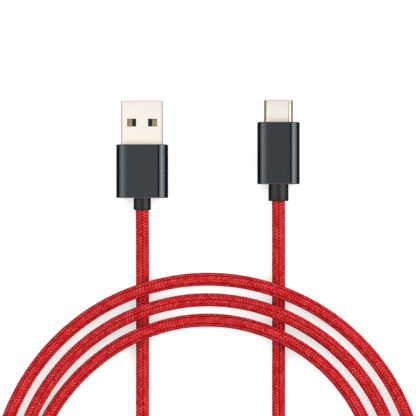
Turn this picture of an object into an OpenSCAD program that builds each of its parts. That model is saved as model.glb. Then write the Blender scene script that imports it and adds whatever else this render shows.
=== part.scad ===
// Charging cable: a USB-A plug and a USB-C plug on one braided cord, lying flat with
// both plugs pointing along +Y and the cord in a round coil of two and a half turns.
// Origin: on the surface the plugs lie on, under the middle of the two plugs' box.

/* [Layout] */
// Distance between the two plugs' centre lines
plug_spacing = 39.5; // [36:0.5:60]
// How far the USB-C tip lies ahead of the USB-A tip
plug_lead = 0.3; // [-2:0.1:2]

/* [Cord] */
// Diameter over the woven sleeve
cord_d = 3.7; // [3:0.1:4.5]
// Thickness of the woven sleeve
sleeve_t = 0.35; // [0.25:0.01:0.45]
// Diameter of each insulated wire
wire_d = 0.8; // [0.6:0.05:0.82]

/* [USB-A plug] */
// Width of the folded steel shell
a_shell_w = 12; // [11.5:0.1:14.5]
// Height of the folded steel shell
a_shell_h = 4.5; // [3.8:0.1:5.4]
// Thickness of the shell's sheet steel
a_sheet_t = 0.3; // [0.2:0.05:0.4]
// Outside radius of the shell's folded corners
a_fold_r = 0.45; // [0.45:0.05:0.55]
// Length of shell in front of the housing
a_shell_out = 12.7; // [10.4:0.1:15]
// Length of shell held inside the housing
a_shell_in = 6; // [5:0.1:6.5]
// Width of each latch window
a_window_w = 2.6; // [2:0.1:3]
// Length of each latch window
a_window_l = 2.2; // [1.7:0.1:2.6]
// Distance from the shell's mouth to a window
a_window_from_tip = 5.3; // [4.3:0.1:6.3]
// Distance of a window's centre from the plug's centre line
a_window_x = 3; // [2.5:0.1:3.6]
// Thickness of the insulating tongue
a_tongue_h = 1.95; // [1.6:0.05:2.35]
// Width of each contact
a_contact_w = 1.2; // [0.8:0.05:1.4]
// Thickness of each contact
a_contact_t = 0.3; // [0.25:0.05:0.36]
// Distance of the two inner contacts from the centre line
a_inner_contact_x = 1; // [0.85:0.05:1.2]
// Distance of the two outer contacts from the centre line
a_outer_contact_x = 3.5; // [2.9:0.1:4.2]
// Aluminium housing beside the shell, on each side
a_cover_w = 1.5; // [1.4:0.05:3]
// Aluminium housing above and below the shell
a_cover_h = 1.35; // [1.2:0.05:2]
// Radius of the aluminium housing's long corners
a_body_r = 3; // [2.5:0.1:3.2]
// Length of the aluminium housing
a_body_l = 15.5; // [14:0.1:20]
// Wall of the strain relief around the cord, outside the housing
a_relief_wall = 0.65; // [0.5:0.05:1.2]
// Length of the strain relief outside the housing
a_relief_out = 3.5; // [2.9:0.1:4.2]
// Width of the strain relief's flange inside the housing
a_flange_w = 9; // [7.5:0.1:10.8]

/* [USB-C plug] */
// Width of the drawn steel shell
c_shell_w = 8.25; // [8:0.05:10]
// Height of the drawn steel shell
c_shell_h = 2.4; // [2.2:0.05:2.9]
// Thickness of the shell's steel
c_sheet_t = 0.25; // [0.2:0.05:0.3]
// Length of shell in front of the housing
c_shell_out = 6.5; // [5.4:0.1:7.8]
// Length of shell held inside the housing
c_shell_in = 4; // [3.6:0.1:4.8]
// Width of the slot that takes the socket's tongue
c_slot_w = 6.7; // [6.6:0.05:6.9]
// Height of the slot that takes the socket's tongue
c_slot_h = 1.1; // [1:0.05:1.2]
// Pitch of the contacts
c_pitch = 0.5; // [0.45:0.01:0.52]
// Width of each contact
c_contact_w = 0.25; // [0.2:0.01:0.3]
// Thickness of each contact
c_contact_t = 0.15; // [0.1:0.01:0.18]
// Length of the circuit board
c_board_l = 5; // [4.2:0.1:6]
// Width of the circuit board
c_board_w = 7; // [6.6:0.1:7.6]
// Aluminium housing beside the shell, on each side
c_cover_w = 2; // [1.7:0.05:3]
// Aluminium housing above and below the shell
c_cover_h = 2.1; // [1.9:0.05:2.6]
// Radius of the aluminium housing's long corners
c_body_r = 2.8; // [2.3:0.1:3]
// Length of the aluminium housing
c_body_l = 18; // [16:0.1:22]
// Wall of the strain relief around the cord, outside the housing
c_relief_wall = 1.05; // [0.8:0.05:1.4]
// Length of the strain relief outside the housing
c_relief_out = 4.9; // [4.2:0.1:6.1]
// Width of the strain relief's flange inside the housing
c_flange_w = 8.4; // [7:0.1:9.5]

/* [Housings] */
// Wall of the aluminium housings
wall = 0.7; // [0.55:0.05:0.85]
// Thickness of the housings' rear walls
rear_wall = 1; // [0.8:0.1:1.2]
// Thickness of the plates that close the housings in front
front_plate_t = 1; // [0.8:0.1:1.2]
// Rubber left around the cord where the strain relief passes the rear wall
neck_wall = 0.4; // [0.3:0.05:0.5]
// Thickness of the strain relief's flange inside the housing
flange_t = 1.5; // [1.2:0.1:1.8]
// Clearance between a moulded core and its housing
core_gap = 0.1; // [0.05:0.05:0.15]

/* [Hidden] */
$fn = 48;

// Colours
STEEL = [0.86, 0.80, 0.70];
GREEN_PLASTIC = [0.06, 0.26, 0.13];
BLACK_PLASTIC = [0.08, 0.08, 0.09];
GOLD = [0.90, 0.68, 0.28];
SOLDER = [0.72, 0.73, 0.74];
ALUMINIUM = [0.24, 0.26, 0.27];
RUBBER = [0.22, 0.22, 0.23];
MOULD = [0.85, 0.84, 0.80];
BRAID = [0.77, 0.09, 0.11];
JACKET = [0.12, 0.12, 0.12];
BOARD = [0.05, 0.28, 0.16];

// Cord: where the two stretches outside the coil run. Each point is x, y and the height
// of the cord's underside above the surface, counted in cord diameters.
COIL_Y = -98.5;
TAIL_A_ROUTE = [
    [-19, -24, 0.25], [-19, -33, 0], [-19, -42, 0], [-19, -51, 0], [-19, -60, 0],
    [-19, -70, 0], [-19, -80, 0], [-19, -89.5, 0], [-19, -98.5, 0], [-18, -107.5, 0],
    [-14.5, -115.5, 0], [-9, -123, 0], [-2, -128.5, 0], [6.5, -132, 0], [15.5, -133, 0],
    [24.5, -132, 0], [33, -128.5, 0], [40, -123, 0], [45.5, -115.5, 0], [49, -107.5, 0],
    [50, -98.5, 0]
];
TAIL_C_ROUTE = [
    [-62, -98.5, 0], [-60.5, -109, 0], [-57, -119.5, 0], [-50.5, -128, 0], [-42, -134.5, 0],
    [-31.5, -138.5, 0], [-21, -140, 0], [-10.5, -138.5, 0.4], [0, -134.5, 1], [8.5, -128, 1],
    [15, -119.5, 0.4], [19, -109, 0], [20.5, -98.5, 0], [20.5, -88.5, 0], [20.5, -79, 0],
    [20.5, -69.5, 0], [20.5, -60, 0], [20.5, -51, 0], [20.5, -42, 0], [20.5, -33, 0],
    [20.5, -23, 0.2]
];
TUBE_SIDES = 8;
// Radius of the coil's centre line in its first turn and in its last
COIL_INNER_R = 50;
COIL_OUTER_R = 62;

// Where each plug lies, and how far behind its tip each piece begins
a_body_w = a_shell_w + 2 * a_cover_w;
a_body_h = a_shell_h + 2 * a_cover_h;
a_relief_d = cord_d + 2 * a_relief_wall;
c_body_w = c_shell_w + 2 * c_cover_w;
c_body_h = c_shell_h + 2 * c_cover_h;
c_relief_d = cord_d + 2 * c_relief_wall;
jacket_d = cord_d - 2 * sleeve_t;
a_len = a_shell_out + a_body_l + a_relief_out;
c_len = c_shell_out + c_body_l + c_relief_out;
plugs_w = plug_spacing + (a_body_w + c_body_w) / 2;
a_x = (a_body_w - plugs_w) / 2;
c_x = (plugs_w - c_body_w) / 2;
front = max(0, plug_lead);
rear = max(a_len, c_len - plug_lead);
a_tip_y = (rear - front) / 2;
c_tip_y = a_tip_y + plug_lead;
a_z = a_body_h / 2;
c_z = c_body_h / 2;
relief_neck_d = cord_d + 2 * neck_wall;

// USB-A stations, measured from the tip
a_back = a_shell_out + a_body_l;
a_flange = a_back - rear_wall - flange_t;
a_shell_end = a_shell_out + a_shell_in;
A_TONGUE_SETBACK = 0.6;
A_OUTER_CONTACT_SETBACK = 1.6;
A_INNER_CONTACT_SETBACK = 2.6;
A_BLOCK_L = 3;
A_TAIL_L = 1.6;
A_SHELL_SKIRT = 2.8;
a_block_end = a_shell_end - A_SHELL_SKIRT;
a_block = a_block_end - A_BLOCK_L;
a_tail_end = a_block_end + A_TAIL_L;
SOLDER_L = 1.2;
SOLDER_EXTRA_D = 0.3;
solder_d = wire_d + SOLDER_EXTRA_D;
a_solder = a_tail_end - SOLDER_L;
JACKET_L = 1.6;
a_jacket = a_flange - JACKET_L;
CRIMP_SETBACK = 0.2;
a_crimp = a_jacket + CRIMP_SETBACK;
a_in_w = a_shell_w - 2 * a_sheet_t;
a_in_h = a_shell_h - 2 * a_sheet_t;
A_BLOCK_GAP = 0.1;
a_block_w = a_in_w - 2 * (a_fold_r - a_sheet_t) - 2 * A_BLOCK_GAP;
A_SEAM_W = 0.08;
a_tongue_top = a_tongue_h - a_in_h / 2;
A_CONTACT_PROUD = 0.1;
a_contact_z = a_tongue_top + A_CONTACT_PROUD - a_contact_t / 2;
a_wire_z = a_tongue_top + A_CONTACT_PROUD + wire_d / 2;

// USB-C stations, measured from the tip
c_back = c_shell_out + c_body_l;
c_flange = c_back - rear_wall - flange_t;
c_shell_end = c_shell_out + c_shell_in;
C_SLOT_END = 5.2;
C_INSULATOR_SETBACK = 0.3;
C_CONTACT_SETBACK = 1.5;
C_LATCH_SETBACK = 1;
C_BLOCK_BEHIND = 0.5;
c_block_end = c_shell_end + C_BLOCK_BEHIND;
C_TAIL_L = 1.3;
c_tail_end = c_block_end + C_TAIL_L;
c_board_end = c_block_end + c_board_l;
c_solder = c_board_end - SOLDER_L;
c_jacket = c_flange - JACKET_L;
c_crimp = c_jacket + CRIMP_SETBACK;
C_SHIELD_OVERLAP = 1;
C_SHIELD_T = 0.2;
c_shield = c_shell_end - C_SHIELD_OVERLAP;
C_SHIELD_BEHIND = 0.6;
c_shield_end = c_board_end + C_SHIELD_BEHIND;
c_in_w = c_shell_w - 2 * c_sheet_t;
c_in_h = c_shell_h - 2 * c_sheet_t;
c_contact_z = c_slot_h / 2 - c_contact_t / 2;
c_board_t = c_slot_h - 2 * c_contact_t;
c_wire_z = c_board_t / 2 + wire_d / 2;
C_SHIELD_ROOM_W = 0.75;
C_SHIELD_ROOM_H = 1;
C_SHIELD_R = 0.5;
c_shield_w = max(c_board_w, c_shell_w) + C_SHIELD_ROOM_W;
c_shield_h = c_board_t + 2 * wire_d + C_SHIELD_ROOM_H;
C_WIRE_PITCH = 1.8;
C_LATCH_T = 0.3;
C_LATCH_H = 0.7;
C_LATCH_STRIP_L = 1.5;
C_LATCH_END = C_SLOT_END + 2 * C_LATCH_STRIP_L;
C_HOOK = C_LATCH_SETBACK + 0.4;
C_HOOK_L = 0.8;
C_SPRING = 0.6;
C_SPRING_L = 0.8;
C_SPRING_T = 0.12;
C_FINGER = 0.8;
C_FINGER_L = 0.4;
c_spring_z = c_in_h / 2 - C_SPRING_T / 2;
c_spring_w = c_in_w - c_in_h;
C_FINGER_W = 1.2;
C_MIDDLE_PLACE = 5.5;
C_RESISTOR_W = 1;
C_RESISTOR_L = 0.5;
C_RESISTOR_H = 0.35;
C_RESISTOR_GAP = 1;
c_resistor = c_tail_end + C_RESISTOR_GAP;

// Wires leave the jacket's end as a square of four
BUNDLE_OFFSET = 0.55;
CRIMP_T = 0.5;
CRIMP_L = 1.2;
CRIMP_GAP_W = 0.6;

// How far a solid that cuts runs past what it cuts
CUT = 1;

// Flat outlines

module stadium(w, h) {
    square([w - h, h], center = true);
    for (side = [-1, 1])
        translate([side * (w - h) / 2, 0])
            circle(d = h);
}

module rounded(w, h, r) {
    square([w - 2 * r, h], center = true);
    square([w, h - 2 * r], center = true);
    for (x = [-1, 1], y = [-1, 1])
        translate([x * (w / 2 - r), y * (h / 2 - r)])
            circle(r = r);
}

// Places its children at a plug's tip: x is across, y is forward and z is up
module at_usb_a() {
    translate([a_x, a_tip_y, a_z]) children();
}

module at_usb_c() {
    translate([c_x, c_tip_y, c_z]) children();
}

// Extrudes an outline backwards, from one distance behind the tip to another
module behind(from, to) {
    translate([0, -from, 0])
        rotate([90, 0, 0])
            linear_extrude(to - from)
                children();
}

// A bar of width w and height h about x and z, between two distances behind the tip
module bar(x, z, w, h, from, to) {
    behind(from, to)
        translate([x, z])
            square([w, h], center = true);
}

// A round wire between two points, each given as x, distance behind the tip and z,
// cut square across the plug at both ends
module slanted_wire(from, to, d) {
    step = [to[0] - from[0], -(to[1] - from[1]), to[2] - from[2]];
    length = norm(step);
    lean = acos(step[2] / length);
    turn = atan2(step[1], step[0]);
    intersection() {
        translate([from[0], -from[1], from[2]])
            rotate([0, lean, turn])
                translate([0, 0, -d])
                    cylinder(d = d, h = length + 2 * d);
        translate([(from[0] + to[0]) / 2, -(from[1] + to[1]) / 2, (from[2] + to[2]) / 2])
            cube([length + 4 * d, to[1] - from[1], length + 4 * d], center = true);
    }
}

module straight_wire(x, z, from, to, d) {
    behind(from, to)
        translate([x, z])
            circle(d = d);
}

// A solder joint: a bar with a round top, lying on a face at height z
module solder_joint(x, z, d, from) {
    intersection() {
        straight_wire(x, z, from, from + SOLDER_L, d);
        bar(x, z + d / 2, 2 * d, d, from - CUT, from + SOLDER_L + CUT);
    }
}

// The cord's stripped end: jacket first, then the woven sleeve to the exit
module cord_end(jacket_from, sleeve_from, exit) {
    straight_wire(0, 0, jacket_from, sleeve_from, jacket_d);
    straight_wire(0, 0, sleeve_from, exit, cord_d);
}

module crimp_ring(from) {
    difference() {
        straight_wire(0, 0, from, from + CRIMP_L, jacket_d + 2 * CRIMP_T);
        straight_wire(0, 0, from - CUT, from + CRIMP_L + CUT, jacket_d);
        bar(0, -jacket_d, CRIMP_GAP_W, 2 * jacket_d, from - CUT, from + CRIMP_L + CUT);
    }
}

module crimp_solid(from) {
    straight_wire(0, 0, from, from + CRIMP_L, jacket_d + 2 * CRIMP_T);
}

// Outline of a housing, set in from its outside face
module body_outline(w, h, r, inset) {
    rounded(w - 2 * inset, h - 2 * inset, r - inset);
}

// Aluminium sleeve with a rear wall, open in front
module housing(w, h, r, front, back) {
    difference() {
        behind(front, back) body_outline(w, h, r, 0);
        behind(front - CUT, back - rear_wall) body_outline(w, h, r, wall);
        straight_wire(0, 0, back - rear_wall - CUT, back + CUT, relief_neck_d);
    }
}

// Rubber strain relief: a flange inside the rear wall, a neck through it, a barrel outside
module strain_relief(w, h, flange, back, out, d) {
    difference() {
        union() {
            behind(flange, back - rear_wall) stadium(w, h);
            straight_wire(0, 0, back - rear_wall, back, relief_neck_d);
            straight_wire(0, 0, back, back + out, d);
        }
        straight_wire(0, 0, flange - CUT, back + out + CUT, cord_d);
    }
}

// USB-A plug

module a_shell_outline() {
    rounded(a_shell_w, a_shell_h, a_fold_r);
}

module usb_a_shell() {
    color(STEEL)
        at_usb_a()
            difference() {
                behind(0, a_shell_end) a_shell_outline();
                behind(-CUT, a_shell_end + CUT) rounded(a_in_w, a_in_h, a_fold_r - a_sheet_t);
                for (side = [-1, 1])
                    bar(side * a_window_x, 0, a_window_w, 2 * a_shell_h,
                        a_window_from_tip, a_window_from_tip + a_window_l);
                bar(0, -a_shell_h / 2, A_SEAM_W, 2 * a_sheet_t, -CUT, a_shell_end + CUT);
            }
}

module usb_a_insulator() {
    color(GREEN_PLASTIC)
        at_usb_a()
            difference() {
                union() {
                    bar(0, a_tongue_top - a_tongue_h / 2, a_block_w, a_tongue_h,
                        A_TONGUE_SETBACK, a_block);
                    bar(0, 0, a_block_w, a_in_h, a_block, a_block_end);
                }
                for (side = [-1, 1]) {
                    a_contact(side * a_inner_contact_x, A_INNER_CONTACT_SETBACK);
                    a_contact(side * a_outer_contact_x, A_OUTER_CONTACT_SETBACK);
                }
            }
}

module a_contact(x, setback) {
    bar(x, a_contact_z, a_contact_w, a_contact_t, setback, a_tail_end);
}

module usb_a_contact_vbus() {
    color(GOLD) at_usb_a() a_contact(a_outer_contact_x, A_OUTER_CONTACT_SETBACK);
}

module usb_a_contact_d_minus() {
    color(GOLD) at_usb_a() a_contact(a_inner_contact_x, A_INNER_CONTACT_SETBACK);
}

module usb_a_contact_d_plus() {
    color(GOLD) at_usb_a() a_contact(-a_inner_contact_x, A_INNER_CONTACT_SETBACK);
}

module usb_a_contact_gnd() {
    color(GOLD) at_usb_a() a_contact(-a_outer_contact_x, A_OUTER_CONTACT_SETBACK);
}

module usb_a_solder_joints() {
    color(SOLDER)
        at_usb_a()
            for (x = [a_inner_contact_x, a_outer_contact_x], side = [-1, 1])
                solder_joint(side * x, a_tongue_top + A_CONTACT_PROUD, solder_d, a_solder);
}

// A wire runs from the end of its contact's tail to its corner of the bundle
module a_wire(x, bundle_x, bundle_z) {
    slanted_wire([x, a_tail_end, a_wire_z], [bundle_x, a_jacket, bundle_z], wire_d);
}

module usb_a_wire_vbus() {
    color("red") at_usb_a() a_wire(a_outer_contact_x, BUNDLE_OFFSET, BUNDLE_OFFSET);
}

module usb_a_wire_d_minus() {
    color("white") at_usb_a() a_wire(a_inner_contact_x, BUNDLE_OFFSET, -BUNDLE_OFFSET);
}

module usb_a_wire_d_plus() {
    color("green") at_usb_a() a_wire(-a_inner_contact_x, -BUNDLE_OFFSET, -BUNDLE_OFFSET);
}

module usb_a_wire_gnd() {
    color("black") at_usb_a() a_wire(-a_outer_contact_x, -BUNDLE_OFFSET, BUNDLE_OFFSET);
}

module usb_a_cord_end() {
    color(JACKET) at_usb_a() cord_end(a_jacket, a_flange, a_len);
}

module usb_a_crimp_ring() {
    color(SOLDER) at_usb_a() crimp_ring(a_crimp);
}

module usb_a_inner_mould() {
    color(MOULD)
        at_usb_a()
            difference() {
                behind(a_shell_out + front_plate_t, a_flange)
                    body_outline(a_body_w, a_body_h, a_body_r, wall + core_gap);
                behind(a_shell_out, a_shell_end) a_shell_outline();
                a_wire(a_outer_contact_x, BUNDLE_OFFSET, BUNDLE_OFFSET);
                a_wire(a_inner_contact_x, BUNDLE_OFFSET, -BUNDLE_OFFSET);
                a_wire(-a_inner_contact_x, -BUNDLE_OFFSET, -BUNDLE_OFFSET);
                a_wire(-a_outer_contact_x, -BUNDLE_OFFSET, BUNDLE_OFFSET);
                straight_wire(0, 0, a_jacket, a_flange + CUT, jacket_d);
                crimp_solid(a_crimp);
            }
}

module usb_a_front_plate() {
    color(BLACK_PLASTIC)
        at_usb_a()
            difference() {
                behind(a_shell_out, a_shell_out + front_plate_t)
                    body_outline(a_body_w, a_body_h, a_body_r, wall);
                behind(a_shell_out - CUT, a_shell_out + front_plate_t + CUT) a_shell_outline();
            }
}

module usb_a_housing() {
    color(ALUMINIUM) at_usb_a() housing(a_body_w, a_body_h, a_body_r, a_shell_out, a_back);
}

module usb_a_strain_relief() {
    color(RUBBER)
        at_usb_a()
            strain_relief(a_flange_w, a_body_h - 2 * (wall + core_gap),
                a_flange, a_back, a_relief_out, a_relief_d);
}

// USB-C plug

module usb_c_shell() {
    color(STEEL)
        at_usb_c()
            difference() {
                behind(0, c_shell_end) stadium(c_shell_w, c_shell_h);
                behind(-CUT, c_shell_end + CUT) stadium(c_in_w, c_in_h);
            }
}

module usb_c_insulator() {
    color(BLACK_PLASTIC)
        at_usb_c()
            difference() {
                behind(C_INSULATOR_SETBACK, c_block_end) stadium(c_in_w, c_in_h);
                bar(0, 0, c_slot_w, c_slot_h, -CUT, C_SLOT_END);
                c_contacts_upper();
                c_contacts_lower();
                c_latches();
                c_ground_springs();
            }
}

// Contacts by their place in the row of twelve: ground, power, channel, data
C_UPPER_PLACES = [0, 3, 4, 5, 6, 8, 11];
C_LOWER_PLACES = [0, 3, 7, 8, 11];

module c_contact_row(places, z) {
    for (place = places)
        bar((place - C_MIDDLE_PLACE) * c_pitch, z, c_contact_w, c_contact_t, C_CONTACT_SETBACK, c_tail_end);
}

module c_contacts_upper() {
    c_contact_row(C_UPPER_PLACES, c_contact_z);
}

module c_contacts_lower() {
    c_contact_row(C_LOWER_PLACES, -c_contact_z);
}

module usb_c_contacts_upper() {
    color(GOLD) at_usb_c() c_contacts_upper();
}

module usb_c_contacts_lower() {
    color(GOLD) at_usb_c() c_contacts_lower();
}

// Two side arms with hooks, joined behind the slot by a cross strip
module c_latches() {
    arm_x = (c_slot_w - C_LATCH_T) / 2;
    for (side = [-1, 1]) {
        bar(side * arm_x, 0, C_LATCH_T, C_LATCH_H, C_LATCH_SETBACK, C_LATCH_END);
        bar(side * (arm_x - C_LATCH_T / 2), 0, 2 * C_LATCH_T, C_LATCH_H,
            C_HOOK, C_HOOK + C_HOOK_L);
    }
    bar(0, 0, c_slot_w, C_LATCH_T, C_LATCH_END - C_LATCH_STRIP_L, C_LATCH_END);
}

module usb_c_latch_springs() {
    color(SOLDER) at_usb_c() c_latches();
}

// A plate above and below, each with three fingers that reach the slot
module c_ground_springs() {
    finger_h = (c_in_h - c_slot_h) / 2;
    finger_z = (c_in_h - finger_h) / 2;
    for (side = [-1, 1]) {
        bar(0, side * c_spring_z, c_spring_w, C_SPRING_T, C_SPRING, C_SPRING + C_SPRING_L);
        for (place = [-1, 0, 1])
            bar(place * c_spring_w / 3, side * finger_z, C_FINGER_W, finger_h,
                C_FINGER, C_FINGER + C_FINGER_L);
    }
}

module usb_c_ground_springs() {
    color(SOLDER) at_usb_c() c_ground_springs();
}

module usb_c_board() {
    color(BOARD) at_usb_c() bar(0, 0, c_board_w, c_board_t, c_block_end, c_board_end);
}

module usb_c_pull_up_resistor() {
    color(BLACK_PLASTIC)
        at_usb_c()
            bar(0, -(c_board_t + C_RESISTOR_H) / 2, C_RESISTOR_W, C_RESISTOR_H,
                c_resistor, c_resistor + C_RESISTOR_L);
}

module usb_c_solder_joints() {
    color(SOLDER)
        at_usb_c()
            for (place = [-1.5, -0.5, 0.5, 1.5])
                solder_joint(place * C_WIRE_PITCH, c_board_t / 2, solder_d, c_solder);
}

// A wire runs from the board's rear edge to its corner of the bundle
module c_wire(place, bundle_x, bundle_z) {
    start = [place * C_WIRE_PITCH, c_board_end, c_wire_z];
    slanted_wire(start, [bundle_x, c_jacket, bundle_z], wire_d);
}

module usb_c_wire_vbus() {
    color("red") at_usb_c() c_wire(1.5, BUNDLE_OFFSET, BUNDLE_OFFSET);
}

module usb_c_wire_d_minus() {
    color("white") at_usb_c() c_wire(0.5, BUNDLE_OFFSET, -BUNDLE_OFFSET);
}

module usb_c_wire_d_plus() {
    color("green") at_usb_c() c_wire(-0.5, -BUNDLE_OFFSET, -BUNDLE_OFFSET);
}

module usb_c_wire_gnd() {
    color("black") at_usb_c() c_wire(-1.5, -BUNDLE_OFFSET, BUNDLE_OFFSET);
}

// Tin can around the board, with a front wall that fits over the drawn shell
module usb_c_rear_shield() {
    color(SOLDER)
        at_usb_c()
            difference() {
                behind(c_shield, c_shield_end) rounded(c_shield_w, c_shield_h, C_SHIELD_R);
                behind(c_shield + C_SHIELD_T, c_shield_end + CUT)
                    rounded(c_shield_w - 2 * C_SHIELD_T, c_shield_h - 2 * C_SHIELD_T,
                        C_SHIELD_R - C_SHIELD_T);
                behind(c_shield - CUT, c_shield_end) stadium(c_shell_w, c_shell_h);
            }
}

module usb_c_cord_end() {
    color(JACKET) at_usb_c() cord_end(c_jacket, c_flange, c_len);
}

module usb_c_crimp_ring() {
    color(SOLDER) at_usb_c() crimp_ring(c_crimp);
}

module usb_c_inner_mould() {
    color(MOULD)
        at_usb_c()
            difference() {
                behind(c_shell_out + front_plate_t, c_flange)
                    body_outline(c_body_w, c_body_h, c_body_r, wall + core_gap);
                behind(c_shell_out, c_shell_end) stadium(c_shell_w, c_shell_h);
                behind(c_shield, c_shield_end) rounded(c_shield_w, c_shield_h, C_SHIELD_R);
                c_wire(1.5, BUNDLE_OFFSET, BUNDLE_OFFSET);
                c_wire(0.5, BUNDLE_OFFSET, -BUNDLE_OFFSET);
                c_wire(-0.5, -BUNDLE_OFFSET, -BUNDLE_OFFSET);
                c_wire(-1.5, -BUNDLE_OFFSET, BUNDLE_OFFSET);
                straight_wire(0, 0, c_jacket, c_flange + CUT, jacket_d);
                crimp_solid(c_crimp);
            }
}

module usb_c_front_plate() {
    color(BLACK_PLASTIC)
        at_usb_c()
            difference() {
                behind(c_shell_out, c_shell_out + front_plate_t)
                    body_outline(c_body_w, c_body_h, c_body_r, wall);
                behind(c_shell_out - CUT, c_shell_out + front_plate_t + CUT)
                    stadium(c_shell_w, c_shell_h);
            }
}

module usb_c_housing() {
    color(ALUMINIUM) at_usb_c() housing(c_body_w, c_body_h, c_body_r, c_shell_out, c_back);
}

module usb_c_strain_relief() {
    color(RUBBER)
        at_usb_c()
            strain_relief(c_flange_w, c_body_h - 2 * (wall + core_gap),
                c_flange, c_back, c_relief_out, c_relief_d);
}

// Cord

function unit(v) = v / norm(v);

function on_surface(p) = [p[0], p[1], cord_d * (0.5 + p[2])];

// Direction of a route at one of its points, from the points on both sides of it
function heading(route, i) =
    unit(route[min(i + 1, len(route) - 1)] - route[max(i - 1, 0)]);

function ring(at, along) =
    let (side = unit(cross(along, [0, 0, 1])), up = cross(side, along))
    [for (k = [0 : TUBE_SIDES - 1])
        at + cord_d / 2 * (cos(k * 360 / TUBE_SIDES) * side + sin(k * 360 / TUBE_SIDES) * up)];

// One closed tube with a ring at every point of the route. Both end rings stand square to
// the line given for them.
module tube(route, first_heading, last_heading) {
    last = len(route) - 1;
    headings = [for (i = [0 : last])
        i == 0 ? first_heading : i == last ? last_heading : heading(route, i)];
    points = [for (i = [0 : last]) each ring(route[i], headings[i])];
    sides = [for (i = [0 : last - 1], k = [0 : TUBE_SIDES - 1])
        let (next = (k + 1) % TUBE_SIDES)
        [i * TUBE_SIDES + k, i * TUBE_SIDES + next,
            (i + 1) * TUBE_SIDES + next, (i + 1) * TUBE_SIDES + k]];
    start_cap = [for (k = [0 : TUBE_SIDES - 1]) TUBE_SIDES - 1 - k];
    end_cap = [for (k = [0 : TUBE_SIDES - 1]) last * TUBE_SIDES + k];
    polyhedron(points, concat([start_cap], sides, [end_cap]), convexity = 10);
}

module cord_tail_usb_a() {
    color(BRAID)
        tube(concat([[a_x, a_tip_y - a_len, a_z]], [for (p = TAIL_A_ROUTE) on_surface(p)]),
            [0, -1, 0], [0, 1, 0]);
}

// The flat spiral's outer shape, a band one cord thick with round edges
module cord_coil() {
    color(BRAID)
        translate([0, COIL_Y, 0])
            rotate_extrude($fn = 96)
                translate([(COIL_OUTER_R + COIL_INNER_R) / 2, cord_d / 2])
                    stadium(COIL_OUTER_R - COIL_INNER_R + cord_d, cord_d);
}

module cord_tail_usb_c() {
    color(BRAID)
        tube(concat([for (p = TAIL_C_ROUTE) on_surface(p)], [[c_x, c_tip_y - c_len, c_z]]),
            [0, -1, 0], [0, 1, 0]);
}

usb_a_shell();
usb_a_insulator();
usb_a_contact_vbus();
usb_a_contact_d_minus();
usb_a_contact_d_plus();
usb_a_contact_gnd();
usb_a_solder_joints();
usb_a_wire_vbus();
usb_a_wire_d_minus();
usb_a_wire_d_plus();
usb_a_wire_gnd();
usb_a_cord_end();
usb_a_crimp_ring();
usb_a_inner_mould();
usb_a_front_plate();
usb_a_housing();
usb_a_strain_relief();
usb_c_shell();
usb_c_insulator();
usb_c_contacts_upper();
usb_c_contacts_lower();
usb_c_latch_springs();
usb_c_ground_springs();
usb_c_board();
usb_c_pull_up_resistor();
usb_c_solder_joints();
usb_c_wire_vbus();
usb_c_wire_d_minus();
usb_c_wire_d_plus();
usb_c_wire_gnd();
usb_c_rear_shield();
usb_c_cord_end();
usb_c_crimp_ring();
usb_c_inner_mould();
usb_c_front_plate();
usb_c_housing();
usb_c_strain_relief();
cord_tail_usb_a();
cord_coil();
cord_tail_usb_c();
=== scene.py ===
import math
import bmesh
import bpy
import numpy as np
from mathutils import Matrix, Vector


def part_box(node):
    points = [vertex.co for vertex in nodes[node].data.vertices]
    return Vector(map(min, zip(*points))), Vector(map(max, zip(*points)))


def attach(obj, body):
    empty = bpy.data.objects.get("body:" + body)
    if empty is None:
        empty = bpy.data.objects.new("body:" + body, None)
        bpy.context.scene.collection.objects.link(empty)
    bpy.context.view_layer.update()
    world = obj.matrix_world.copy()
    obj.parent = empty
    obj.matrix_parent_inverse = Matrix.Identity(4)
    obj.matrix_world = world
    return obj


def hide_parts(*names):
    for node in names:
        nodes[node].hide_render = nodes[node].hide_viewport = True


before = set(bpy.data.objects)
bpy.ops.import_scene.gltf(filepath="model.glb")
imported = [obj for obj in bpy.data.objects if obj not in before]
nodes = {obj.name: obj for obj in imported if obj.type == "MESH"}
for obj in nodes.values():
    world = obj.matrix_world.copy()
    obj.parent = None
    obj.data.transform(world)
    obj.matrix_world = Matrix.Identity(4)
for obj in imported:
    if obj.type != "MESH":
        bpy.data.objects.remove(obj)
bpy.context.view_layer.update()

MM = 0.001

# ---- Camera -------------------------------------------------------------------------
# It looks straight down on the plugs and the top of the coil, through a long lens, so
# that both plugs are seen square from above.
SEEN_WIDTH = 120.6 * MM
SEEN_CENTRE = (0.0, -15.4 * MM, 3.5 * MM)
lens = bpy.data.cameras.new("camera")
lens.lens = 300
lens.sensor_width = 36
lens.clip_start = 0.1
lens.clip_end = 10
camera = bpy.data.objects.new("camera", lens)
camera.location = SEEN_CENTRE
camera.location.z += SEEN_WIDTH * lens.lens / lens.sensor_width
bpy.context.scene.collection.objects.link(camera)
bpy.context.scene.camera = camera


# ---- USB-A shell --------------------------------------------------------------------
# Nickel-plated sheet steel, cut flat with four latch windows, folded round the tongue
# and clinched where its two edges meet underneath. The mouth is pressed in a little.
A_SHELL_RADIUS = 0.45 * MM
A_SHEET = 0.3 * MM
A_MOUTH_INSET = 0.04 * MM
A_MOUTH_LENGTH = 0.2 * MM
A_LIP_ROW = 0.08 * MM  # a row close behind the tip keeps the lip's edge firm
A_WINDOW_X = 3.0 * MM
A_WINDOW_WIDTH = 2.6 * MM
A_WINDOW_LENGTH = 2.2 * MM
A_WINDOW_FROM_TIP = 5.3 * MM
A_SEAM_GAP = 0.06 * MM
A_CLINCH = [(9.0, 0), (9.2, 0.9), (10.8, 0.9), (11.0, 0)]  # mm from the tip, mm aside
A_EDGE = 0.04 * MM
FOLD_STEPS = 6
STEEL = (0.95, 0.88, 0.80, 1)
STEEL_SHADE = (0.93, 0.855, 0.77, 1)
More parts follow.
